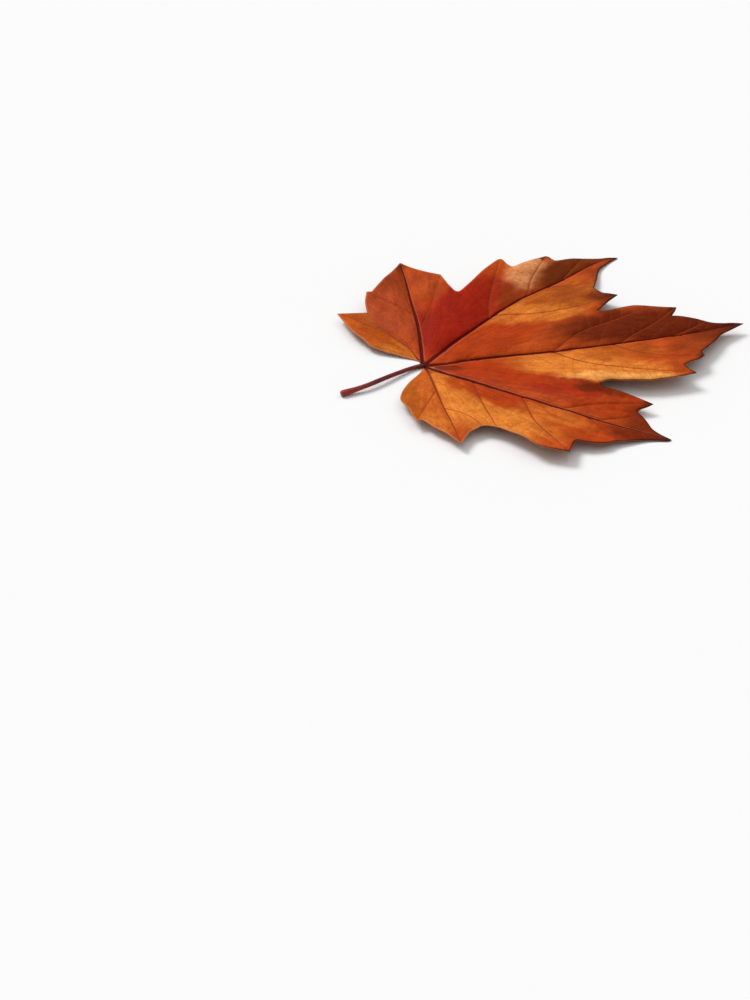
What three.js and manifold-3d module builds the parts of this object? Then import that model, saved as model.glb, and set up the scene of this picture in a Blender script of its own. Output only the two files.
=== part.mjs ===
// A fallen maple leaf lying face up: a toothed, five-lobed blade folded along its main veins, and its stalk.
// Millimetres. The origin is the underside of the blade where the stalk and the veins meet, resting on
// the surface. +X runs towards the middle lobe, +Y towards the upper lobes, +Z up from the surface.
import * as THREE from 'three';
import { mergeVertices } from 'three/addons/utils/BufferGeometryUtils.js';
import Module from 'manifold-3d';

const BLADE_THICKNESS = 0.6;
// How steeply the blade rises away from each main vein, as rise over run.
const FOLD_SLOPE = 0.19;
// How far a raised part of the blade leans forward, towards -Y, for each millimetre that it rises.
const LEAN = 1.5;
// The underside is flat on the surface wherever the folded sheet is lower than this.
const FLAT_BELOW = 0.35;
const SHEET_RADIUS = 118;
const SHEET_RINGS = 34;
const SPOKES_PER_FOLD = 6;
const STALK_DIAMETER = 1.7;
const STALK_END_DIAMETER = 2.4;
const STALK_SIDES = 12;
const JOINT_KNOT = [4.2, 3.0, 1.3];
const LEAF_COLOUR = 0xc4622a;

// The margin of the blade, from above the stalk round to below it. Each entry is one smooth stretch
// that ends in a corner: the point of a lobe or a tooth, or the bottom of a notch.
const MARGIN_START = [-1, 1.8];
const MARGIN = [
  // Tooth beside the stalk
  [[-15.3, 9.3], [-19.7, 15], [-23.7, 20.7], [-28.3, 30.6]],
  [[-24, 30.9], [-18.3, 31.2]],
  // Upper basal lobe
  [[-19, 37.8], [-18.5, 44.1]],
  [[-16.8, 44.1]],
  [[-12.8, 52.2], [-9.7, 57], [-7.3, 61.8]],
  [[-3.3, 58.8], [1.3, 56.4], [6.3, 54.6]],
  // Upper lobe, up from its hollow over two blunt teeth to its point, then back by the lower tooth
  [[8.7, 49.2], [10.7, 45.4], [11.8, 44.4], [13, 44.9], [17, 51.3], [20.3, 57], [23.8, 61.8], [26, 64.1],
    [27.3, 63.6], [28.7, 61.2], [30.7, 59.7], [33.7, 61.8], [36.7, 63.6], [41.7, 66]],
  [[42.7, 65.6], [44.2, 63.9], [45.5, 63.4], [50, 64.6], [54.3, 64.6], [59.5, 64.6], [62.7, 65.2], [66, 65.2]],
  [[61, 59.8], [59.5, 56.7], [58.9, 52.2], [57.8, 46.5]],
  [[60.2, 43.8], [62.7, 43.1], [65.6, 42.2]],
  [[62.3, 37.9], [59, 32.5]],
  // Middle lobe
  [[62.7, 33], [69.1, 35.3], [72.7, 35.7], [79.2, 34.9], [85.2, 34.4]],
  [[84.6, 32], [83.5, 29.4]],
  [[86.7, 29.1], [91.3, 27.7], [96.5, 25.3], [100.7, 24.8], [103.7, 25], [107.5, 24.6]],
  [[103, 20.6], [100, 17.9], [98, 14.3], [94, 8.6], [93.2, 7.8]],
  [[94.1, 5.1]],
  [[92.5, 3.3], [89.5, 1.4], [87.3, -0.6]],
  [[88.6, -2.6], [91.3, -5.4]],
  [[84.8, -7.8], [77.3, -9.8], [72.7, -10.1], [66, -10], [62, -9.8], [60.5, -10.8], [59.3, -12.3],
    [60.3, -13.5], [62, -14.7], [66.1, -16.6], [73, -21.6], [76.7, -24.4]],
  // Lower lobe
  [[74.5, -26.2], [72.3, -27.6], [71.5, -29.2], [72.7, -31.2], [74.5, -35], [76.2, -39.3], [78.9, -42.6],
    [82.5, -45.8]],
  [[81, -46.6], [75, -46], [69, -46.3], [63.7, -46.8], [61, -47.9], [54.8, -47.4], [51.2, -46.2], [50, -47.4]],
  [[49.5, -49.5], [48.7, -52.8]],
  [[45.3, -51.9], [38, -48.8], [33.6, -43.9], [29.1, -40.8], [24.7, -38], [20.2, -37.2], [18.3, -38.6], [15.7, -41]],
  // Lower basal lobe and the rounded base beside the stalk
  [[14.2, -44.4], [12.9, -48]],
  [[10.8, -45.6], [7.7, -41.5], [4.1, -38.4], [0.7, -34.3], [-0.3, -33.6]],
  [[-1.8, -34.3]],
  [[-3.2, -31.2], [-4.5, -27.2], [-7.1, -22], [-6.9, -18], [-5.8, -14.5], [-3.9, -10.5], [-1.3, -6.5], [0.3, -3.3]],
];

// The lines that the blade folds along, anticlockwise: the edge of the base, the six main veins, and the
// edge above the stalk. Each runs out from the origin through its points. arch is its rise halfway along
// and lift the rise of its end.
const FOLD_LINES = [
  { path: [[-28.2, -10.3]], arch: 0, lift: 1.6 },
  { path: [[2, -4.8], [4.7, -15], [7.3, -26.3], [9.5, -34.2], [12.9, -48]], arch: 0.8, lift: 3.6 },
  { path: [[14.2, -8.4], [24.7, -14.2], [45.5, -25.8], [63.1, -36], [82.5, -45.8]], arch: 1.8, lift: 0 },
  { path: [[20.2, 4.2], [45.3, 8.8], [72.7, 15], [93.7, 20.2], [107.5, 24.6]], arch: 2.4, lift: 3.4 },
  { path: [[9.3, 12], [18.3, 23.4], [31.5, 39], [46, 51], [58.5, 62], [66, 65.2]], arch: 2.2, lift: 0 },
  { path: [[-0.7, 16.2], [-1.8, 27.6], [-3.7, 39.2], [-5, 48.6], [-7.3, 61.8]], arch: 1.2, lift: 6.4 },
  { path: [[-4, 9.3], [-9, 16.2], [-13, 20.4], [-21.7, 27], [-28.3, 30.6]], arch: 0.8, lift: 3 },
  { path: [[-29.9, -2.6]], arch: 0, lift: 1.2 },
];

// Each fold line as polar steps [radius, bearing], with bearings growing all the way round.
let bearingBefore = -Math.PI;
for (const line of FOLD_LINES) {
  line.steps = line.path.map(([x, y]) => {
    let bearing = Math.atan2(y, x);
    while (bearing < bearingBefore - 0.5) {
      bearing += 2 * Math.PI;
    }
    bearingBefore = Math.max(bearingBefore, bearing);
    return [Math.hypot(x, y), bearing];
  });
  line.reach = line.steps.at(-1)[0];
}

function bearingAt(line, radius) {
  const after = line.steps.findIndex(([r]) => r > radius);
  if (after === 0) {
    return line.steps[0][1];
  }
  if (after < 0) {
    return line.steps.at(-1)[1];
  }
  const [r0, b0] = line.steps[after - 1];
  const [r1, b1] = line.steps[after];
  return THREE.MathUtils.mapLinear(radius, r0, r1, b0, b1);
}

function riseOfLine(line, radius) {
  const along = Math.min(radius / line.reach, 1.1);
  return line.arch * Math.sin(Math.PI * along) ** 2 + line.lift * along ** 2;
}

// Fold number k lies between line k and the next one; the last is the gap that the stalk leaves through.
function foldBearings(k, radius) {
  const next = FOLD_LINES[k + 1];
  const first = bearingAt(FOLD_LINES[k], radius);
  const second = next ? bearingAt(next, radius) : bearingAt(FOLD_LINES[0], radius) + 2 * Math.PI;
  return [first, second];
}

// Height of the underside at a share of the way across a fold: the veins lie low, with a rounded ridge between.
function underside(k, share, radius) {
  const [first, second] = foldBearings(k, radius);
  const low = riseOfLine(FOLD_LINES[k], radius);
  const high = riseOfLine(FOLD_LINES[(k + 1) % FOLD_LINES.length], radius);
  const ridge = FOLD_SLOPE / Math.PI * radius * (second - first) * Math.sin(Math.PI * share);
  const height = THREE.MathUtils.lerp(low, high, THREE.MathUtils.smoothstep(share, 0, 1)) + ridge;
  return Math.max(height - FLAT_BELOW, 0);
}

function undersideAt(x, y) {
  const radius = Math.hypot(x, y);
  const bearing = Math.atan2(y, x);
  for (let k = 0; k < FOLD_LINES.length; k++) {
    const [first, second] = foldBearings(k, radius);
    for (const turn of [0, 2 * Math.PI]) {
      const share = (bearing + turn - first) / (second - first);
      if (share >= 0 && share <= 1) {
        return underside(k, share, radius);
      }
    }
  }
  return 0;
}

const wasm = await Module();
wasm.setup();

function solidOf(geometry) {
  geometry.deleteAttribute('normal');
  geometry.deleteAttribute('uv');
  const welded = mergeVertices(geometry, 1e-4);
  const corners = [];
  for (let i = 0; i < welded.index.count; i += 3) {
    const [a, b, c] = [0, 1, 2].map((n) => welded.index.getX(i + n));
    if (a !== b && b !== c && c !== a) {
      corners.push(a, b, c);
    }
  }
  return new wasm.Manifold(new wasm.Mesh({
    numProp: 3,
    vertProperties: welded.attributes.position.array,
    triVerts: new Uint32Array(corners),
  }));
}

function geometryOf(solid) {
  const mesh = solid.getMesh();
  const geometry = new THREE.BufferGeometry();
  geometry.setAttribute('position', new THREE.BufferAttribute(mesh.vertProperties, 3));
  geometry.setIndex(new THREE.BufferAttribute(mesh.triVerts, 1));
  return geometry;
}

// The folded sheet: a thin disc whose spokes are gathered so that every sixth one follows a fold line.
const rings = Array.from({ length: SHEET_RINGS + 1 }, (_, j) => SHEET_RADIUS * j / SHEET_RINGS);
const discProfile = [
  ...rings.map((r) => new THREE.Vector2(r, 0)),
  ...rings.toReversed().map((r) => new THREE.Vector2(r, BLADE_THICKNESS)),
];
const spokes = SPOKES_PER_FOLD * FOLD_LINES.length;
const sheet = new THREE.LatheGeometry(discProfile, spokes);
const sheetPoints = sheet.attributes.position;
for (let i = 0; i < sheetPoints.count; i++) {
  const spoke = Math.floor(i / discProfile.length) % spokes;
  const { x: radius, y: above } = discProfile[i % discProfile.length];
  const fold = Math.floor(spoke / SPOKES_PER_FOLD);
  const share = spoke % SPOKES_PER_FOLD / SPOKES_PER_FOLD;
  const [first, second] = foldBearings(fold, radius);
  const bearing = THREE.MathUtils.lerp(first, second, share);
  const height = underside(fold, share, radius) + above;
  sheetPoints.setXYZ(i, radius * Math.cos(bearing), radius * Math.sin(bearing), height);
}

// The blade: the sheet cut to the margin.
const margin = new THREE.Shape();
margin.moveTo(...MARGIN_START);
for (const stretch of MARGIN) {
  margin.splineThru(stretch.map(([x, y]) => new THREE.Vector2(x, y)));
}
margin.closePath();
const cutter = new THREE.ExtrudeGeometry(margin, { depth: 60, bevelEnabled: false, curveSegments: 2 });
cutter.translate(0, 0, -20);
const blade = geometryOf(solidOf(sheet).intersect(solidOf(cutter)));
const bladePoints = blade.attributes.position;
for (let i = 0; i < bladePoints.count; i++) {
  const y = bladePoints.getY(i);
  bladePoints.setY(i, y - LEAN * undersideAt(bladePoints.getX(i), y));
}

// The stalk: a round rod that bows up a little off the surface and ends in a swollen foot, where it
// broke from its twig. A flat knot joins it to the blade.
const stalkLine = new THREE.CatmullRomCurve3([
  [1.6, -0.5, 0.95], [-3.7, -2.9, 1.05], [-8.3, -6.4, 1.5], [-12.8, -9.6, 1.9], [-18, -13.3, 1.9],
  [-22.7, -16, 1.5], [-26, -17.8, 1.2],
].map(([x, y, z]) => new THREE.Vector3(x, y - LEAN * (z - STALK_DIAMETER / 2), z)));
const stalkSection = new THREE.Shape(new THREE.EllipseCurve(0, 0, STALK_DIAMETER / 2, STALK_DIAMETER / 2)
  .getPoints(STALK_SIDES).slice(0, -1));
const stalk = new THREE.ExtrudeGeometry(stalkSection, { steps: 24, extrudePath: stalkLine, bevelEnabled: false });
const foot = new THREE.SphereGeometry(STALK_END_DIAMETER / 2, STALK_SIDES, 8);
foot.rotateZ(Math.PI / 2);
foot.scale(1.5, 1, 1);
foot.rotateZ(Math.PI / 5);
foot.translate(...stalkLine.getPoint(0.985).toArray());
const knot = new THREE.SphereGeometry(0.5, STALK_SIDES, 8);
knot.rotateX(Math.PI / 2);
knot.scale(...JOINT_KNOT);
knot.translate(0, -0.2, 0.7);

const leafSolid = solidOf(blade).add(solidOf(stalk)).add(solidOf(foot)).add(solidOf(knot));
const leaf = new THREE.Mesh(
  geometryOf(leafSolid),
  new THREE.MeshStandardMaterial({ color: LEAF_COLOUR, roughness: 0.55, metalness: 0 }),
);
leaf.name = 'maple_leaf';

const fallenLeaf = new THREE.Group();
fallenLeaf.add(leaf);

export default fallenLeaf;
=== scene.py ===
import math

import bmesh
import bpy
from mathutils import Matrix, Vector, kdtree, noise
from mathutils.geometry import delaunay_2d_cdt


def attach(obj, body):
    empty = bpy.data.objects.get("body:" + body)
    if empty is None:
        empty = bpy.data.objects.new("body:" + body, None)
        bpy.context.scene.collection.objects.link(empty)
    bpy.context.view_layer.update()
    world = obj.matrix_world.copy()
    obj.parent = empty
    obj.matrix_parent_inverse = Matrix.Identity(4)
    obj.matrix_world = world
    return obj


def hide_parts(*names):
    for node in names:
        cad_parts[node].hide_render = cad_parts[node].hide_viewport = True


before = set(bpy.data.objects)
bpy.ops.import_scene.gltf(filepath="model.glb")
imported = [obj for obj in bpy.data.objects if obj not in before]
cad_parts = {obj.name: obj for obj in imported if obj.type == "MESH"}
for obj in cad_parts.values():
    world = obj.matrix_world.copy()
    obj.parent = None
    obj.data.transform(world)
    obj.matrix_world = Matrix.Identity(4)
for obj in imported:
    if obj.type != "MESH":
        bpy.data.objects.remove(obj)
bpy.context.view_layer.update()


# Outline and veins
# The blade is one thin sheet of leaf, toothed round its margin, with six main veins that spread from the
# stalk and branch into the teeth. The sheet is drawn flat, in millimetres, before it is folded.

MM = 0.001

margin_start = (-1, 1.8)
margin_stretches = [
    # tooth beside the stalk
    [(-15.3, 9.3), (-19.7, 15), (-23.7, 20.7), (-28.3, 30.6)],
    [(-24, 30.9), (-18.3, 31.2)],
    # upper basal lobe
    [(-19, 37.8), (-18.5, 44.1)],
    [(-16.8, 44.1)],
    [(-12.8, 52.2), (-9.7, 57), (-7.3, 61.8)],
    [(-3.3, 58.8), (1.3, 56.4), (6.3, 54.6)],
    # upper lobe
    [(8.7, 49.2), (10.7, 45.4), (11.8, 44.4), (13, 44.9), (17, 51.3), (20.3, 57), (23.8, 61.8), (26, 64.1),
     (27.3, 63.6), (28.7, 61.2), (30.7, 59.7), (33.7, 61.8), (36.7, 63.6), (41.7, 66)],
    [(42.7, 65.6), (44.2, 63.9), (45.5, 63.4), (50, 64.6), (54.3, 64.6), (59.5, 64.6),
     (62.7, 65.2), (66, 65.2)],
    [(61, 59.8), (59.5, 56.7), (58.9, 52.2), (57.8, 46.5)],
    [(60.2, 43.8), (62.7, 43.1), (65.6, 42.2)],
    [(62.3, 37.9), (59, 32.5)],
    # middle lobe
    [(62.7, 33), (69.1, 35.3), (72.7, 35.7), (79.2, 34.9), (85.2, 34.4)],
    [(84.6, 32), (83.5, 29.4)],
    [(86.7, 29.1), (91.3, 27.7), (96.5, 25.3), (100.7, 24.8), (103.7, 25), (107.5, 24.6)],
    [(103, 20.6), (100, 17.9), (98, 14.3), (94, 8.6), (93.2, 7.8)],
    [(94.1, 5.1)],
    [(92.5, 3.3), (89.5, 1.4), (87.3, -0.6)],
    [(88.6, -2.6), (91.3, -5.4)],
    [(84.8, -7.8), (77.3, -9.8), (72.7, -10.1), (66, -10), (62, -9.8), (60.5, -10.8), (59.3, -12.3),
     (60.3, -13.5), (62, -14.7), (66.1, -16.6), (73, -21.6), (76.7, -24.4)],
    # lower lobe
    [(74.5, -26.2), (72.3, -27.6), (71.5, -29.2), (72.7, -31.2), (74.5, -35), (76.2, -39.3), (78.9, -42.6),
     (82.5, -45.8)],
    [(81, -46.6), (75, -46), (69, -46.3), (63.7, -46.8), (61, -47.9), (54.8, -47.4),
     (51.2, -46.2), (50, -47.4)],
    [(49.5, -49.5), (48.7, -52.8)],
    [(45.3, -51.9), (38, -48.8), (33.6, -43.9), (29.1, -40.8), (24.7, -38), (20.2, -37.2), (18.3, -38.6),
     (15.7, -41)],
    # lower basal lobe and the rounded base beside the stalk
    [(14.2, -44.4), (12.9, -48)],
    [(10.8, -45.6), (7.7, -41.5), (4.1, -38.4), (0.7, -34.3), (-0.3, -33.6)],
    [(-1.8, -34.3)],
    [(-3.2, -31.2), (-4.5, -27.2), (-7.1, -22), (-6.9, -18), (-5.8, -14.5), (-3.9, -10.5), (-1.3, -6.5),
     (0.3, -3.3)],
]
vein_joint = (0.2, -1.4)

# Lines that the blade folds along, anticlockwise. The first and last are the edges beside the stalk and the
# six between them are the main veins. arch is the rise halfway along a line and lift the rise of its end.
fold_lines = [
    {"path": [(-28.2, -10.3)], "arch": 0, "lift": 1.6},
    {"path": [(2, -4.8), (4.7, -15), (7.3, -26.3), (9.5, -34.2), (12.9, -48)], "arch": 0.8, "lift": 3.6},
    {"path": [(14.2, -8.4), (24.7, -14.2), (45.5, -25.8), (63.1, -36), (82.5, -45.8)], "arch": 1.8, "lift": 0},
    {"path": [(20.2, 4.2), (45.3, 8.8), (72.7, 15), (93.7, 20.2), (107.5, 24.6)], "arch": 2.4, "lift": 3.4},
    {"path": [(9.3, 12), (18.3, 23.4), (31.5, 39), (46, 51), (58.5, 62), (66, 65.2)], "arch": 2.2, "lift": 0},
    {"path": [(-0.7, 16.2), (-1.8, 27.6), (-3.7, 39.2), (-5, 48.6), (-7.3, 61.8)], "arch": 1.2, "lift": 6.4},
    {"path": [(-4, 9.3), (-9, 16.2), (-13, 20.4), (-21.7, 27), (-28.3, 30.6)], "arch": 0.8, "lift": 3},
    {"path": [(-29.9, -2.6)], "arch": 0, "lift": 1.2},
]

# Side veins: the main vein that each leaves, the points it passes and where it meets the margin.
side_veins = [
    (3, [(43.5, 8.4), (52.3, 19.4), (64, 27), (76.5, 35.2)]),
    (3, [(66.3, 13.4), (71.5, 19.4), (78, 25.5), (85.2, 34.4)]),
    (3, [(84, 17.8), (90, 21.8), (95, 26)]),
    (3, [(43.5, 8.4), (48, 5.2), (54.8, 1.8), (66, -1.2), (91.3, -5.4)]),
    (3, [(63.5, 12.8), (67.5, 10.4), (73, 8), (82.7, 5.4), (94.1, 5.1)]),
    (3, [(86, 18.2), (92, 14.4), (97.3, 13.2)]),
    (4, [(22.8, 28.9), (22.6, 37.6), (23.3, 44.4), (26, 64.1)]),
    (4, [(35.6, 42.8), (36.1, 50), (37.9, 56.4), (41.7, 66)]),
    (4, [(47, 52), (50.5, 58), (54.3, 64.6)]),
    (4, [(24.3, 30.6), (29, 31), (39.2, 32), (51, 35.5), (65.6, 42.2)]),
    (4, [(42, 48), (50, 48.6), (58.4, 49.6)]),
    (2, [(33.3, -19.3), (36.8, -32.2), (41, -40.2), (48.7, -52.8)]),
    (2, [(17, -9.8), (19.6, -21.4), (24.7, -38)]),
    (2, [(55, -31.5), (60, -38.5), (67, -46.5)]),
    (2, [(46.7, -26.5), (57.2, -23.8), (76.7, -24.4)]),
    (2, [(58.7, -33.4), (66, -32.4), (72.7, -31.2)]),
    (1, [(7.3, -26.3), (12.2, -28.2), (16.6, -32), (19.6, -37.2)]),
    (1, [(4.7, -15), (1.5, -24), (-1.8, -34.3)]),
    (5, [(-2.2, 30.5), (-8, 36), (-18.5, 44.1)]),
    (5, [(-1, 20), (2.6, 34), (4.6, 46), (6.3, 54.6)]),
]


def smooth_line(points, step):
    """Points about a step apart along a smooth curve through the given points."""
    points = [Vector(p) for p in points]
    line = []
    for i in range(len(points) - 1):
        p0, p1, p2, p3 = (points[max(0, min(n, len(points) - 1))] for n in range(i - 1, i + 3))
        count = max(1, round((p2 - p1).length / step))
        for n in range(count):
            t = n / count
            bend = (2 * p0 - 5 * p1 + 4 * p2 - p3) * t * t + (3 * p1 - p0 - 3 * p2 + p3) * t ** 3
            line.append(0.5 * (2 * p1 + (p2 - p0) * t + bend))
    return line + [points[-1]]


# The flat sheet is filled with an even net of triangles whose edges follow the margin and every vein.
net_step = 0.52
margin_line = []
corner = margin_start
for stretch in margin_stretches:
    margin_line += smooth_line([corner, *stretch], net_step)[:-1]
    corner = stretch[-1]
margin_line += [Vector(corner), Vector(vein_joint)]

main_curves = {k: smooth_line([vein_joint, *fold_lines[k]["path"]], net_step) for k in range(1, 7)}
side_curves = []
for k, points in side_veins:
    start = min(main_curves[k], key=lambda p: (p - Vector(points[0])).length)
    end = min(margin_line, key=lambda p: (p - Vector(points[-1])).length)
    side_curves.append(smooth_line([start, *points[1:-1], end], net_step))

# Branches: thin veins that leave the others on alternate sides and bend forward until they meet one or the
# margin. Points already taken are kept in one-millimetre squares. The seed makes every run alike.
taken = {}
noise.seed_set(5)


def take(line):
    for p in line:
        taken.setdefault((math.floor(p.x), math.floor(p.y)), []).append(p)


def met(p, reach):
    """The nearest taken point within reach of a spot."""
    close = [q for i in (-1, 0, 1) for j in (-1, 0, 1)
             for q in taken.get((math.floor(p.x) + i, math.floor(p.y) + j), []) if (q - p).length < reach]
    return min(close, key=lambda q: (q - p).length, default=None)


branch_curves = []
for line in [margin_line, *main_curves.values(), *side_curves]:
    take(line)
for parents, spacing, leave in ((main_curves.values(), 6.2, 50), (side_curves, 4.1, 58)):
    for parent in parents:
        gap = round(spacing / net_step)
        for turn, n in enumerate(range(gap, len(parent) - gap // 2, gap // 2)):
            side = 1 if turn % 2 else -1
            heading = (parent[n + 1] - parent[n - 1]).normalized()
            angle = side * (leave + 30 * noise.noise((n / 7.3, turn / 3.7, 0)))
            heading.rotate(Matrix.Rotation(math.radians(angle), 2))
            branch = [parent[n]]
            while len(branch) < 40:
                spot = branch[-1] + net_step * heading
                angle = -side * 0.5 + 11 * noise.noise((*spot / 2.4, 1))
                heading.rotate(Matrix.Rotation(math.radians(angle), 2))
                end = met(spot, 0.6) if len(branch) > 3 else None
                branch.append(end or spot)
                if end:
                    break
            if met(branch[1], 0.4) in (None, parent[n]) and len(branch) > 5:
                branch_curves.append(branch)
                take(branch[2:-1])

net_points, net_edges = [], []
for line in [margin_line, *main_curves.values(), *side_curves, *branch_curves]:
    first = len(net_points)
    net_points += line
    net_edges += [(n, n + 1) for n in range(first, len(net_points) - 1)]
# Rows of points along both sides of each vein keep its valley even.
for curves, offsets in ((main_curves.values(), (0.36, 0.8)), (side_curves, (0.38,))):
    for line in curves:
        rows = []
        for n in range(1, len(line) - 1):
            across = (line[n + 1] - line[n - 1]).normalized().orthogonal()
            for offset in offsets:
                rows += [spot for spot in (line[n] + offset * across, line[n] - offset * across)
                         if not met(spot, 0.85 * offset)]
        take(rows)
        net_points += rows
drawn = kdtree.KDTree(len(net_points))
for n, p in enumerate(net_points):
    drawn.insert((*p, 0), n)
drawn.balance()
row_gap = net_step * math.sqrt(3) / 2
for row in range(round(120 / row_gap)):
    for column in range(round(138 / net_step)):
        spot = Vector((-29 + net_step * (column + row % 2 / 2), -53.5 + row_gap * row))
        if drawn.find((*spot, 0))[2] > 0.72 * net_step:
            net_points.append(spot)
net = delaunay_2d_cdt(net_points, net_edges, [range(len(margin_line))], 1, 1e-5)
blade = bmesh.new()
net_verts = [blade.verts.new((*p, 0)) for p in net[0]]
for corners in net[2]:
    blade.faces.new([net_verts[n] for n in corners])
bmesh.ops.delete(blade, geom=[v for v in blade.verts if not v.link_faces], context="VERTS")
bmesh.ops.recalc_face_normals(blade, faces=blade.faces[:])


# Blade
# The blade is one thin dry sheet of leaf, grown in one piece with its veins, which lie in valleys while the
# sheet folds up between them. It is turning: gold by the stalk, scarlet above it and brown at the tips.

fold_slope, flat_below, lean = 0.19, 0.35, 1.5
bearing_before = -math.pi
for line in fold_lines:
    line["steps"] = []
    for x, y in line["path"]:
        bearing = math.atan2(y, x)
        while bearing < bearing_before - 0.5:
            bearing += math.tau
        bearing_before = max(bearing_before, bearing)
        line["steps"].append((math.hypot(x, y), bearing))


def bearing_at(line, radius):
    """The bearing of a fold line where it is this far from the stalk."""
    before = line["steps"][0]
    for step in line["steps"]:
        if step[0] > radius:
            along = (radius - before[0]) / max(step[0] - before[0], 1e-6)
            return before[1] + (step[1] - before[1]) * along
        before = step
    return before[1]


def rise(line, radius):
    """How high a fold line stands there."""
    along = min(radius / line["steps"][-1][0], 1.1)
    return line["arch"] * math.sin(math.pi * along) ** 2 + line["lift"] * along ** 2


def ease(value, start, end):
    """0 at the start and 1 at the end, with a soft bend at both."""
    t = max(0, min(1, (value - start) / (end - start)))
    return t * t * (3 - 2 * t)


def fold_at(x, y):
    """The fold that a spot lies in, its share of the way across and the height of the underside there."""
    radius, bearing = math.hypot(x, y), math.atan2(y, x)
    for k, line in enumerate(fold_lines):
        beyond = fold_lines[(k + 1) % len(fold_lines)]
        first = bearing_at(line, radius)
        second = bearing_at(beyond, radius) + (math.tau if beyond is fold_lines[0] else 0)
        for turn in (0, math.tau):
            share = (bearing + turn - first) / (second - first)
            if 0 <= share <= 1:
                ridge = fold_slope / math.pi * radius * (second - first) * math.sin(math.pi * share)
                low, high = rise(line, radius), rise(beyond, radius)
                return k, share, max(low + (high - low) * ease(share, 0, 1) + ridge - flat_below, 0)
    return 7, 0, 0


# Half the width of each main vein at the stalk, and of a side vein where it leaves its main vein.
main_half_widths = {1: 0.46, 2: 0.68, 3: 0.78, 4: 0.8, 5: 0.68, 6: 0.34}
side_half_width, branch_half_width, vein_end_half_width = 0.34, 0.2, 0.1


def line_finder(curves):
    """A search tree over fine points along curves, with each point's half-width, heading and curve."""
    spots = []
    for which, (half_width, curve) in enumerate(curves):
        fine = smooth_line(curve, 0.1)
        for n, p in enumerate(fine):
            heading = fine[min(n + 1, len(fine) - 1)] - fine[max(n - 1, 0)]
            taper = (1 - n / len(fine)) ** 0.65
            spots.append((p, vein_end_half_width + (half_width - vein_end_half_width) * taper, heading, which))
    tree = kdtree.KDTree(len(spots))
    for n, spot in enumerate(spots):
        tree.insert((*spot[0], 0), n)
    tree.balance()
    return tree, spots


main_tree, main_spots = line_finder([(main_half_widths[k], [vein_joint, *fold_lines[k]["path"]])
                                     for k in main_curves])
side_tree, side_spots = line_finder([(side_half_width * (0.7 if k in (1, 5) else 1), curve)
                                     for (k, _), curve in zip(side_veins, side_curves)])
branch_tree, branch_spots = line_finder([(branch_half_width, curve) for curve in branch_curves])
rim_tree, _ = line_finder([(0, margin_line)])

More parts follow.
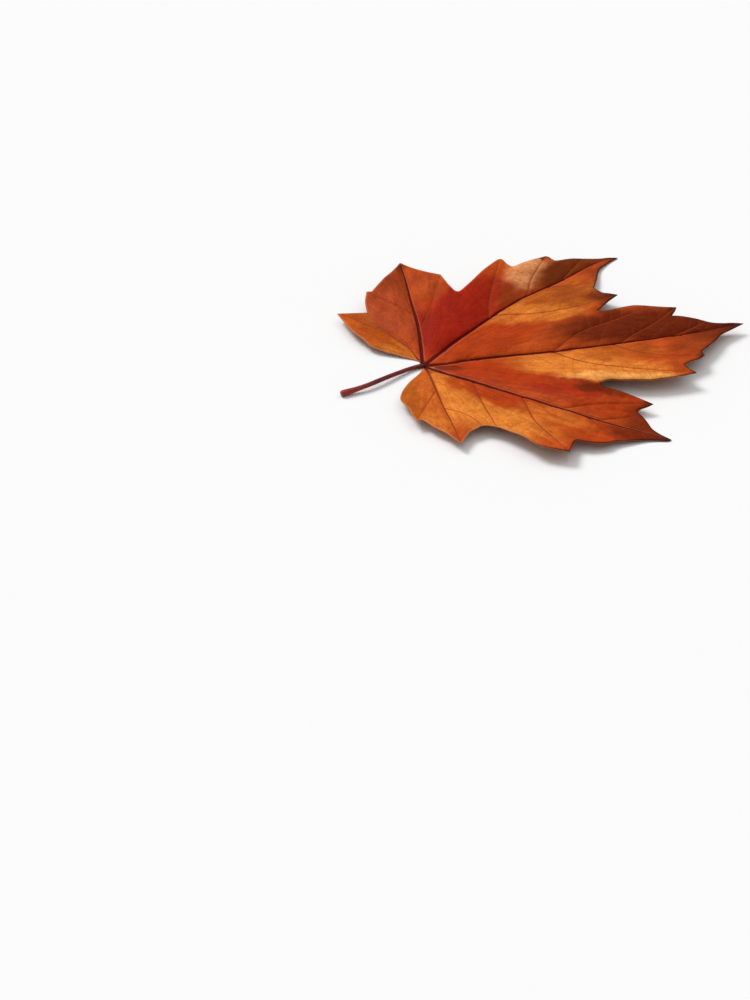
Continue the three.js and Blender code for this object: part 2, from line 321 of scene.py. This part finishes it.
# Patches of colour: the leaf's own turning pigment with painted light and shade mixed in. The gold on the near
# halves of the lobes is partly painted light and the browns on their far halves partly painted shade. Each
# patch gives the fold it lies in, its middle, half its length and width, its turn and how strong it is. A later
# patch covers an earlier one.
pigment_and_shading_colours = {
    "orange": (184, 74, 22), "gold": (218, 127, 48), "ochre": (172, 89, 24), "scarlet": (152, 26, 11),
    "rust": (168, 52, 9), "umber": (93, 27, 2), "brown": (104, 44, 10), "tan": (226, 152, 98),
    "clay": (170, 71, 36), "chestnut": (140, 54, 18), "maroon": (46, 11, 12),
    "straw": (248, 174, 90),
}
patches = [
    # beside the stalk, near side
    (0, (1, -20), 20, 9, -72, "gold", 0.4), (0, (-6, -21), 13, 3.6, -78, "ochre", 0.85),
    (0, (6, -36), 8, 5, -55, "gold", 0.5),
    # lower basal lobe and the sinus beside it
    (1, (12, -18), 22, 12, -62, "gold", 1), (1, (27, -29), 22, 9, -38, "gold", 1),
    (1, (27, -18), 23, 6.6, -31, "rust", 0.95), (1, (56, -41), 22, 10, -32, "rust", 0.4),
    # The maroon by the joint of the veins is painted shade in the fold there.
    (1, (46, -31), 12, 4, -32, "gold", 0.5), (1, (5, -4.4), 5, 1.2, -31, "maroon", 0.5),
    (1, (73, -44), 12, 5, -28, "umber", 0.85), (1, (13, -46), 6, 5, -70, "orange", 0.6),
    # lower lobe, far half, and the near half of the middle lobe
    (2, (30, -5), 30, 8, -8, "rust", 0.95), (2, (60, -21), 22, 8, -28, "rust", 0.75),
    (2, (47, 4), 14, 5, 8, "gold", 0.75), (2, (56, -1.5), 25, 6, -6, "gold", 1),
    (2, (67, 8), 12, 5, 10, "ochre", 0.6), (2, (47, -15), 14, 3, -7, "scarlet", 0.55),
    # The umber by the sinus and the maroon by the joint are painted shade in the folds; the straw along the
    # near edge of the middle lobe is partly painted light.
    (2, (58, -14), 8, 3, -20, "umber", 0.85), (2, (67, -7.5), 19, 3, -2, "straw", 0.85),
    (2, (63, -17), 9, 2.4, -33, "umber", 0.7), (2, (5.5, -1.4), 8, 2, -8, "maroon", 0.6),
    (2, (93, 13), 11, 8, 15, "chestnut", 0.85), (2, (100, 20), 8, 5, 20, "umber", 0.7),
    (2, (76, -36), 11, 9, -34, "umber", 0.75),
    # middle lobe, far half, and the near half of the upper lobe
    (3, (22, 15), 24, 8, 34, "rust", 0.7), (3, (47, 40), 22, 9, 30, "ochre", 0.9),
    (3, (34, 33), 14, 3.5, 14, "gold", 0.6), (3, (39, 29.5), 15, 3.4, 13, "gold", 0.65),
    (3, (60, 58), 7, 6, 42, "chestnut", 0.7), (3, (52, 44.5), 7, 3.5, 35, "chestnut", 0.45),
    # The umber over the far half of the middle lobe is partly painted shade.
    (3, (70, 24), 26, 10, 10, "umber", 1), (3, (94, 25), 18, 9, 4, "umber", 1),
    (3, (63, 42), 7, 5, 30, "umber", 0.9),
    # upper lobe, far half, and the near half of the upper basal lobe
    (4, (9, 26), 26, 13, 62, "scarlet", 1), (4, (20, 42), 17, 9, 55, "scarlet", 0.8),
    (4, (2.5, 50), 7, 7, 80, "clay", 0.5), (4, (32, 45), 10, 7, 58, "chestnut", 0.85),
    (4, (27, 58), 6, 5, 60, "orange", 0.6), (4, (36, 57.4), 10, 6.4, 66, "tan", 1),
    (4, (48, 57), 12, 7, 42, "brown", 1), (4, (58, 63), 8, 4, 20, "brown", 0.9),
    # upper basal lobe, far half, and the tooth beside the stalk
    (5, (-8, 34), 26, 14, 100, "clay", 0.9), (5, (-8, 54), 11, 10, 100, "umber", 0.4),
    (5, (-22, 28), 8, 4, 145, "ochre", 0.6), (6, (-14, 15), 20, 7, 142, "ochre", 0.5),
    (6, (-6, 6.5), 9, 5, 150, "gold", 0.6), (5, (-5, 10), 8, 4, 115, "orange", 0.5),
]
# The dried tips of the lobes and teeth, with the radius each has darkened over.
dry_tips = [((106, 24.5), 9), ((82, -45.5), 6), ((66, 65), 4.5), ((-7, 61), 4), ((65, 42), 2.5), ((94, 5), 2.5),
            ((76.5, -24.5), 2.5), ((91, -5.4), 2), ((85, 34), 2), ((48.7, -52.5), 2), ((41.7, 66), 1.5)]


def linear(colour):
    """A colour given in screen values from 0 to 255, as the light that it reflects."""
    return Vector([(c / 255 / 12.92 if c < 10.3 else ((c / 255 + 0.055) / 1.055) ** 2.4) for c in colour])


pigment_and_shading_colours = {name: linear(colour) for name, colour in pigment_and_shading_colours.items()}


def pigment_and_shading_at(k, fan, x, y):
    """The leaf's colour at a spot: its pigment, with painted light and shade in some patches. The edges of the
    patches stray, most of all along the veins.
    """
    stray = 2 * noise.noise_vector(Vector((x, y, 3)) / 8) + 1.1 * noise.noise_vector(Vector((x, y, 9)) / 2.6)
    stray += 0.6 * noise.noise_vector(Vector((x, y, 6)) / 1.1)
    stray += 4.5 * noise.noise((fan * 9, math.hypot(x, y) / 30, 0)) * Vector((x, y, 0)).normalized()
    x, y = x + stray.x, y + stray.y
    colour = pigment_and_shading_colours["orange"]
    for fold, middle, half_length, half_width, turn, name, strength in patches:
        if fold == k:
            turn = math.radians(turn)
            along = (x - middle[0]) * math.cos(turn) + (y - middle[1]) * math.sin(turn)
            across = (y - middle[1]) * math.cos(turn) - (x - middle[0]) * math.sin(turn)
            far = math.hypot(along / half_length, across / half_width)
            colour = colour.lerp(pigment_and_shading_colours[name], strength * (1 - ease(far, 0.6, 1.4)))
    for tip, size in dry_tips:
        far = math.hypot(x - tip[0], y - tip[1]) / size
        colour = colour.lerp(pigment_and_shading_colours["maroon"], 0.9 * (1 - ease(far, 0.1, 1.5)))
    return colour


# Relief in millimetres. Cushions swell between the main and side veins and a finer quilting between all of
# them, each with its height and its reach from a vein. The face is carried forward as far as it stands up.
cushion_height, cushion_reach = 0.6, 2.6
quilt_height, quilt_reach = 0.24, 0.9
face_height, back_height, least_thickness = 0.6, 0.3, 0.22
vein_stands, cushion_stands, margin_reach = 0.85, 0.5, 6
marks = {name: blade.verts.layers.float.new(name) for name in
         ("main_vein", "red_vein", "painted_lip_highlight", "side_vein", "branch", "edge", "rim_painted_light", "fan", "reach",
          "face_top", "face_bottom")}
pigment_and_shading = blade.verts.layers.float_color.new("pigment_and_shading")
for v in blade.verts:
    x, y = v.co.xy
    k, share, sheet = fold_at(x, y)
    _, n, main_gap = main_tree.find((x, y, 0))
    foot, main_half, heading, vein = main_spots[n]
    _, n, side_gap = side_tree.find((x, y, 0))
    side_half = side_spots[n][1]
    _, n, branch_gap = branch_tree.find((x, y, 0))
    branch_half = branch_spots[n][1]
    edge = rim_tree.find((x, y, 0))[2]
    gap = min(main_gap, side_gap)
    v[marks["main_vein"]] = min(main_gap / main_half, 8)
    v[marks["red_vein"]] = 1 - ease(math.hypot(x, y), 2, 7) if vein in (0, 5) else 1
    # Which side of a main vein gets the painted highlight: the near side, and both sides of the lower lobe's
    # vein.
    v[marks["painted_lip_highlight"]] = 1 if vein == 1 else ease(heading.cross(Vector((x, y)) - foot), 0.01, -0.01)
    # The margin is painted pale as lit on the left (1) and dark as shaded on the right (0).
    v[marks["rim_painted_light"]] = 1 - ease(x, 25, 45)
    v[marks["side_vein"]] = min(side_gap / side_half, 8)
    v[marks["branch"]] = min(branch_gap / branch_half, 8)
    v[marks["edge"]] = edge
    v[marks["fan"]], v[marks["reach"]] = k + share, math.hypot(x, y)
    v[pigment_and_shading] = (*pigment_and_shading_at(k, k + share, x, y), 1)

    clear = ease(math.hypot(x, y), 0, 12)
    cushion = 1 - math.exp(-gap / cushion_reach)
    quilt = 1 - math.exp(-min(gap, branch_gap) / quilt_reach)
    puff = (cushion_height * cushion + quilt_height * quilt) * clear
    cockle = 0.22 * noise.noise(Vector((x, y, 0)) / 6.5) + 0.07 * noise.noise(Vector((x, y, 5)) / 2)
    groove = (0.42 * main_half * math.exp(-(main_gap / (1.15 * main_half)) ** 2)
              + 0.4 * side_half * math.exp(-(side_gap / (1.3 * side_half)) ** 2))
    rib = (0.8 * main_half * math.exp(-(main_gap / (1.4 * main_half)) ** 2)
           + 0.7 * side_half * math.exp(-(side_gap / (1.4 * side_half)) ** 2))
    calm = 1 - math.exp(-edge / 1.2)
    rolled = 0.14 * math.exp(-(edge / 0.8) ** 2)
    top = sheet + face_height + calm * (puff + cockle) - groove - rolled
    bottom = sheet + back_height + calm * (0.6 * puff + cockle) - rib * calm
    v[marks["face_top"]] = max(top, sheet + back_height)
    v[marks["face_bottom"]] = max(min(bottom, top - least_thickness), sheet, 0)
    stands = (1 - math.exp(-edge / margin_reach)) * (vein_stands + cushion_stands * cushion * clear)
    v.co.y -= lean * (sheet + stands)

skin = bmesh.ops.extrude_face_region(blade, geom=blade.faces[:], use_keep_orig=True)["geom"]
upper = {e for e in skin if isinstance(e, bmesh.types.BMVert)}
for v in blade.verts:
    v.co.z = v[marks["face_top"] if v in upper else marks["face_bottom"]]
for f in blade.faces:
    held = sum(v in upper for v in f.verts)
    f.material_index = 0 if held == len(f.verts) else 1 if held == 0 else 2
    f.smooth = True
for e in blade.edges:
    e.smooth = len({f.material_index for f in e.link_faces}) == 1
for name in ("face_top", "face_bottom"):
    blade.verts.layers.float.remove(blade.verts.layers.float[name])
bmesh.ops.recalc_face_normals(blade, faces=blade.faces[:])
bmesh.ops.scale(blade, vec=(MM, MM, MM), verts=blade.verts[:])
blade_mesh = bpy.data.meshes.new("leaf_blade")
blade.to_mesh(blade_mesh)
blade.free()
leaf_blade = bpy.data.objects.new("leaf_blade", blade_mesh)
bpy.context.scene.collection.objects.link(leaf_blade)


def add_node(tree, kind, inputs=None, **settings):
    """A node with its settings, and its sockets given a value or joined to another node's output."""
    node = tree.nodes.new(kind)
    for name, value in settings.items():
        setattr(node, name, value)
    for socket, value in (inputs or {}).items():
        if isinstance(value, bpy.types.NodeSocket):
            tree.links.new(value, node.inputs[socket])
        else:
            node.inputs[socket].default_value = value
    return node


def between(tree, value, start, end, low=0.0, high=1.0):
    """A value that eases from low at the start to high at the end."""
    return add_node(tree, "ShaderNodeMapRange", {0: value, 1: start, 2: end, 3: low, 4: high},
                    interpolation_type="SMOOTHSTEP").outputs[0]


def blend(tree, factor, first, second, how="MIX"):
    """Two colours mixed."""
    return add_node(tree, "ShaderNodeMix", {0: factor, 6: first, 7: second}, data_type="RGBA",
                    blend_type=how).outputs[2]


def scaled(tree, value, by, plus=0.0):
    """A value multiplied and then added to."""
    return add_node(tree, "ShaderNodeMath", {0: value, 1: by, 2: plus}, operation="MULTIPLY_ADD").outputs[0]


def times(tree, first, second):
    """Two values multiplied."""
    return add_node(tree, "ShaderNodeMath", {0: first, 1: second}, operation="MULTIPLY").outputs[0]


def mark(tree, name):
    """A mark kept in the mesh."""
    return add_node(tree, "ShaderNodeAttribute", attribute_name=name).outputs


def shade(r, g, b):
    """A socket's colour from screen values."""
    return (*linear((r, g, b)), 1)


# The grain of the leaf: a net of the finest veins, the little cushions between them, a fine bloom, slow
# blotches of tone and streaks drawn out along the veins.
grain = bpy.data.node_groups.new("leaf_grain", "ShaderNodeTree")
for name in ("Net Scale", "Bloom Scale", "Blotch Scale"):
    grain.interface.new_socket(name, in_out="INPUT", socket_type="NodeSocketFloat")
for name in ("Net", "Cushions", "Bloom", "Blotches", "Streaks"):
    grain.interface.new_socket(name, in_out="OUTPUT", socket_type="NodeSocketFloat")
given = add_node(grain, "NodeGroupInput").outputs
place = add_node(grain, "ShaderNodeTexCoord").outputs["Object"]
wander = add_node(grain, "ShaderNodeTexNoise", {"Vector": place, "Scale": 420, "Detail": 2})
drift = add_node(grain, "ShaderNodeVectorMath", {0: wander.outputs["Color"], 1: (0.0009, 0.0009, 0), 2: place},
                 operation="MULTIPLY_ADD").outputs[0]
flat = add_node(grain, "ShaderNodeVectorMath", {0: drift, 1: (1, 1, 0.2)}, operation="MULTIPLY").outputs[0]
coarse = add_node(grain, "ShaderNodeTexVoronoi", {"Vector": flat, "Scale": given["Net Scale"]},
                  feature="DISTANCE_TO_EDGE")
fine_scale = scaled(grain, given["Net Scale"], 2.7)
fine = add_node(grain, "ShaderNodeTexVoronoi", {"Vector": flat, "Scale": fine_scale},
                feature="DISTANCE_TO_EDGE")
net_coarse = between(grain, coarse.outputs["Distance"], 0.0, 0.09, 1.0, 0.0)
net_fine = between(grain, fine.outputs["Distance"], 0.0, 0.1, 0.5, 0.0)
net_both = add_node(grain, "ShaderNodeMath", {0: net_coarse, 1: net_fine}, operation="MAXIMUM").outputs[0]
cushion = add_node(grain, "ShaderNodeMath", {0: coarse.outputs["Distance"], 1: fine.outputs["Distance"]},
                   operation="ADD").outputs[0]
bloom = add_node(grain, "ShaderNodeTexNoise", {"Vector": place, "Scale": given["Bloom Scale"], "Detail": 3})
blotch = add_node(grain, "ShaderNodeTexNoise", {"Vector": place, "Scale": given["Blotch Scale"], "Detail": 6,
                                                "Roughness": 0.62})
fan = scaled(grain, mark(grain, "fan")["Fac"], 22.0)
reach = scaled(grain, mark(grain, "reach")["Fac"], 0.1)
drawn_out = add_node(grain, "ShaderNodeCombineXYZ", {0: fan, 1: reach}).outputs[0]
streak = add_node(grain, "ShaderNodeTexNoise", {"Vector": drawn_out, "Scale": 1.0, "Detail": 5,
                                                "Roughness": 0.6})
add_node(grain, "NodeGroupOutput", {"Net": net_both, "Cushions": cushion, "Bloom": bloom.outputs["Fac"],
                                    "Blotches": blotch.outputs["Fac"], "Streaks": streak.outputs["Fac"]})


def leaf_material(name, net_scale, bloom_scale, blotch_scale):
    """A material with its shader and the leaf's grain at its own scales, ready for a finish."""
    material = bpy.data.materials.new(name)
    material.use_nodes = True
    tree = material.node_tree
    grained = add_node(tree, "ShaderNodeGroup", node_tree=grain)
    grained.inputs["Net Scale"].default_value = net_scale
    grained.inputs["Bloom Scale"].default_value = bloom_scale
    grained.inputs["Blotch Scale"].default_value = blotch_scale
    return material, tree, tree.nodes["Principled BSDF"], grained.outputs


# Upper side: the pigment with its painted light and shade, with dark sunken main veins and a painted highlight,
# a thin pale lip on their near side, side veins of one tone that show dark on gold and pale on brown, and a
# thin line round the margin, painted dark as shade on the right and pale as lit on the left.
leaf_upper, tree, shader, grained = leaf_material("leaf_upper", 560, 1700, 170)
tone = blend(tree, 1.0, mark(tree, "pigment_and_shading")["Color"],
             blend(tree, between(tree, grained["Blotches"], 0.3, 0.7), (0.86, 0.8, 0.76, 1),
                   (1.16, 1.2, 1.2, 1)), "MULTIPLY")
tone = blend(tree, 1.0, tone, blend(tree, between(tree, grained["Streaks"], 0.3, 0.7), (0.86, 0.8, 0.76, 1),
                                    (1.14, 1.16, 1.16, 1)), "MULTIPLY")
tone = blend(tree, between(tree, grained["Bloom"], 0.35, 0.7, 0.16, 0.0), tone, shade(130, 46, 14))
tone = blend(tree, scaled(tree, grained["Net"], 0.26), tone, shade(118, 42, 12))
main_vein = mark(tree, "main_vein")["Fac"]
side_vein = mark(tree, "side_vein")["Fac"]
edge_gap = mark(tree, "edge")["Fac"]
tone = blend(tree, between(tree, mark(tree, "branch")["Fac"], 0.4, 1.8, 0.24, 0.0), tone, shade(136, 56, 20))
tone = blend(tree, between(tree, side_vein, 0.5, 1.6, 0.75, 0.0), tone, shade(134, 55, 20))
# A painted highlight: a thin pale line along the near side of the main veins.
painted_lip_highlight = times(tree, between(tree, main_vein, 0.9, 1.3), between(tree, main_vein, 1.4, 2.1, 1.0, 0.0))
tone = blend(tree, times(tree, scaled(tree, painted_lip_highlight, 0.2), mark(tree, "painted_lip_highlight")["Fac"]), tone, shade(214, 136, 112))
vein_tone = blend(tree, mark(tree, "red_vein")["Fac"], shade(134, 56, 16), shade(80, 9, 6))
tone = blend(tree, between(tree, main_vein, 0.7, 1.25, 0.95, 0.0), tone, vein_tone)
# Painted light and shade along the margin: a pale lit line on the left, a dark shaded line on the right.
rim_light_and_shade = blend(tree, mark(tree, "rim_painted_light")["Fac"], shade(34, 9, 8), shade(200, 132, 82))
rim_weight = scaled(tree, mark(tree, "rim_painted_light")["Fac"], -0.4, 0.85)
tone = blend(tree, times(tree, between(tree, edge_gap, 0.12, 0.7, 1.0, 0.0), rim_weight), tone, rim_light_and_shade)
tree.links.new(tone, shader.inputs["Base Color"])
tree.links.new(scaled(tree, grained["Blotches"], 0.25, 0.36), shader.inputs["Roughness"])
shader.inputs["Specular IOR Level"].default_value = 0.035
height = scaled(tree, grained["Bloom"], 0.4, grained["Cushions"])
relief = add_node(tree, "ShaderNodeBump", {"Strength": 0.5, "Distance": 0.0002, "Height": height})
tree.links.new(relief.outputs[0], shader.inputs["Normal"])

# Underside: duller and paler than the face, with its veins standing out as pale ribs.
leaf_underside, tree, shader, grained = leaf_material("leaf_underside", 480, 1500, 150)
tone = blend(tree, 0.5, mark(tree, "pigment_and_shading")["Color"], shade(196, 136, 98))
tone = blend(tree, between(tree, grained["Blotches"], 0.3, 0.7, 0.35, 0.0), tone, shade(120, 66, 44))
tone = blend(tree, scaled(tree, grained["Net"], 0.3), tone, shade(214, 160, 120))
side_rib = between(tree, mark(tree, "side_vein")["Fac"], 0.7, 1.6, 0.6, 0.0)
main_rib = between(tree, mark(tree, "main_vein")["Fac"], 0.9, 1.6, 0.8, 0.0)
tone = blend(tree, side_rib, tone, shade(206, 140, 104))
tone = blend(tree, main_rib, tone, shade(190, 104, 78))
tree.links.new(tone, shader.inputs["Base Color"])
tree.links.new(scaled(tree, grained["Blotches"], 0.2, 0.6), shader.inputs["Roughness"])
shader.inputs["Specular IOR Level"].default_value = 0.3
relief = add_node(tree, "ShaderNodeBump", {"Strength": 0.5, "Distance": 0.0003, "Height": grained["Net"]})
tree.links.new(relief.outputs[0], shader.inputs["Normal"])

# Rim: the thin edge of the sheet, painted dark as shade along the right-hand margins and pale as lit along the
# left.
leaf_rim, tree, shader, grained = leaf_material("leaf_rim", 560, 2200, 300)
# Painted light and shade on the rim: pale as lit on the left, dark as shaded on the right.
rim_light_and_shade = blend(tree, mark(tree, "rim_painted_light")["Fac"], shade(78, 30, 20), shade(176, 108, 66))
tone = blend(tree, 0.6, mark(tree, "pigment_and_shading")["Color"], rim_light_and_shade)
tone = blend(tree, between(tree, grained["Bloom"], 0.3, 0.7, 0.4, 0.0), tone, shade(176, 112, 78))
tree.links.new(tone, shader.inputs["Base Color"])
tree.links.new(scaled(tree, grained["Blotches"], 0.2, 0.55), shader.inputs["Roughness"])

for material in (leaf_upper, leaf_underside, leaf_rim):
    blade_mesh.materials.append(material)
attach(leaf_blade, "root")
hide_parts("maple_leaf")


# Stalk
# The stalk is a thin woody stem, dark red and smooth, swollen at its foot where it came away from the twig.
# It runs into the blade where the main veins meet, in a small dark knot.

stalk_path = [(1.2, -1.6, 0.5), (-0.8, -2.1, 0.8), (-3.7, -3.4, 1.05), (-8.3, -6.4, 1.5), (-12.8, -9.6, 1.9),
              (-18, -13.5, 1.9), (-22.7, -16.5, 1.5), (-27, -18.8, 1.15)]
stalk_radius, foot_radius, stalk_sides = 0.68, 1.1, 20
middle_line = smooth_line([Vector((x, y - lean * (z - 0.85), z)) for x, y, z in stalk_path], 0.3)
stalk = bmesh.new()
along_stalk = stalk.verts.layers.float.new("along")
bmesh.ops.create_circle(stalk, segments=stalk_sides, radius=1)
rows = [(stalk.verts[:], 0)]
for n in range(1, len(middle_line)):
    edges = [e for e in stalk.edges if e.verts[0] in rows[-1][0] and e.verts[1] in rows[-1][0]]
    made = bmesh.ops.extrude_edge_only(stalk, edges=edges)["geom"]
    rows.append(([v for v in made if isinstance(v, bmesh.types.BMVert)], n))
for row, n in rows:
    centre = middle_line[n]
    ahead = (middle_line[min(n + 1, len(middle_line) - 1)] - middle_line[max(n - 1, 0)]).normalized()
    across = ahead.cross(Vector((0, 0, 1))).normalized()
    over = across.cross(ahead)
    share = n / (len(middle_line) - 1)
    swell = stalk_radius + (foot_radius - stalk_radius) * (0.4 * share + 0.6 * ease(share, 0.74, 0.98))
    swell -= 0.3 * ease(share, 0.975, 1)
    dome = math.sqrt(1 - (1 - min(share / 0.06, 1)) ** 2 + 0.01)
    swell = (swell + 0.2 * (1 - ease(share, 0.02, 0.14))) * dome
    for v in row:
        turn = math.atan2(v.co.y, v.co.x)
        v[along_stalk] = share
        uneven = 1 + 0.05 * noise.noise(Vector((share * 14, math.cos(turn), math.sin(turn))))
        flatten = 0.8 + 0.2 * ease(share, 0, 0.12)
        v.co = centre + swell * uneven * (math.cos(turn) * across + math.sin(turn) * over * flatten)
        v.co.z = max(v.co.z, 0.02)
bmesh.ops.holes_fill(stalk, edges=[e for e in stalk.edges if e.is_boundary])
bmesh.ops.recalc_face_normals(stalk, faces=stalk.faces[:])
for f in stalk.faces:
    f.smooth = len(f.verts) == 4
bmesh.ops.scale(stalk, vec=(MM, MM, MM), verts=stalk.verts[:])
stalk_mesh = bpy.data.meshes.new("leaf_stalk")
stalk.to_mesh(stalk_mesh)
stalk.free()
leaf_stalk = bpy.data.objects.new("leaf_stalk", stalk_mesh)
bpy.context.scene.collection.objects.link(leaf_stalk)

stalk_skin, tree, shader, grained = leaf_material("stalk_skin", 560, 1700, 240)
along = mark(tree, "along")["Fac"]
place = add_node(tree, "ShaderNodeTexCoord").outputs["Object"]
turned = add_node(tree, "ShaderNodeMapping", {"Vector": place, "Rotation": (0, 0, math.radians(34)),
                                              "Scale": (9, 1, 1)}, vector_type="TEXTURE").outputs[0]
streaks = add_node(tree, "ShaderNodeTexNoise", {"Vector": turned, "Scale": 2400, "Detail": 3}).outputs["Fac"]
tone = blend(tree, between(tree, streaks, 0.3, 0.7), shade(84, 14, 17), shade(134, 36, 36))
tone = blend(tree, between(tree, along, 0.55, 0.95, 0.0, 0.5), tone, shade(158, 46, 32))
tone = blend(tree, between(tree, along, 0.14, 0.0, 0.0, 0.85), tone, shade(54, 18, 14))
tone = blend(tree, between(tree, grained["Blotches"], 0.55, 0.8, 0.0, 0.5), tone, shade(66, 18, 18))
tree.links.new(tone, shader.inputs["Base Color"])
tree.links.new(scaled(tree, grained["Blotches"], 0.3, 0.22), shader.inputs["Roughness"])
shader.inputs["Specular IOR Level"].default_value = 0.35
relief = add_node(tree, "ShaderNodeBump", {"Strength": 0.4, "Distance": 0.0002, "Height": streaks})
tree.links.new(relief.outputs[0], shader.inputs["Normal"])
stalk_mesh.materials.append(stalk_skin)
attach(leaf_stalk, "root")
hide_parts("maple_leaf")


# Table, light and camera
# A plain pale table top, a soft lamp behind the leaf on the left, and an even pale room. The camera looks
# down on the leaf at a little over a third of a right angle.

table = bmesh.new()
bmesh.ops.create_grid(table, x_segments=1, y_segments=1, size=30)
table_mesh = bpy.data.meshes.new("table_top")
table.to_mesh(table_mesh)
table.free()
table_top = bpy.data.objects.new("table_top", table_mesh)
bpy.context.scene.collection.objects.link(table_top)
table_paint = bpy.data.materials.new("table_paint")
table_paint.use_nodes = True
table_paint.node_tree.nodes["Principled BSDF"].inputs["Base Color"].default_value = (0.82, 0.82, 0.82, 1)
table_paint.node_tree.nodes["Principled BSDF"].inputs["Roughness"].default_value = 0.9
table_paint.node_tree.nodes["Principled BSDF"].inputs["Specular IOR Level"].default_value = 0
table_mesh.materials.append(table_paint)

lamp = bpy.data.lights.new("soft_lamp", "SUN")
lamp.energy, lamp.angle = 1.96, math.radians(26)
soft_lamp = bpy.data.objects.new("soft_lamp", lamp)
soft_lamp.rotation_euler = Vector((0.55, -0.42, -0.9)).to_track_quat("-Z", "Y").to_euler()
bpy.context.scene.collection.objects.link(soft_lamp)

room = bpy.data.worlds.new("pale_room")
room.use_nodes = True
walls = room.node_tree.nodes["Background"]
walls.inputs["Color"].default_value = (1, 1, 1, 1)
seen = add_node(room.node_tree, "ShaderNodeLightPath").outputs["Is Camera Ray"]
aloft = add_node(room.node_tree, "ShaderNodeSeparateXYZ",
                 {0: add_node(room.node_tree, "ShaderNodeTexCoord").outputs["Generated"]}).outputs["Z"]
glow = between(room.node_tree, aloft, 0.4, 0.9, 0.28, 1.0)
shown = add_node(room.node_tree, "ShaderNodeMix", {0: seen, 2: glow, 3: 0.955}).outputs[0]
room.node_tree.links.new(shown, walls.inputs["Strength"])
bpy.context.scene.world = room
bpy.context.scene.view_settings.view_transform = "Standard"

# In the picture, 750 by 1000 pixels, the joint of the veins lies this far right of and above the middle.
lens, pixel, picture_height = 600, MM / 3, 1000
joint_right, joint_above = 47, 135
slope = math.atan(2 / 3)
ahead = Vector((0, math.cos(slope), -math.sin(slope)))
up = Vector((0, math.sin(slope), math.cos(slope)))
aim = -joint_right * pixel * Vector((1, 0, 0)) - joint_above * pixel * up
camera = bpy.data.cameras.new("camera")
camera.lens, camera.sensor_width, camera.clip_end = lens, 36, 60
camera_stand = bpy.data.objects.new("camera", camera)
camera_stand.location = aim - ahead * (lens / camera.sensor_width * picture_height * pixel)
camera_stand.rotation_euler = ahead.to_track_quat("-Z", "Y").to_euler()
bpy.context.scene.collection.objects.link(camera_stand)
bpy.context.scene.camera = camera_stand
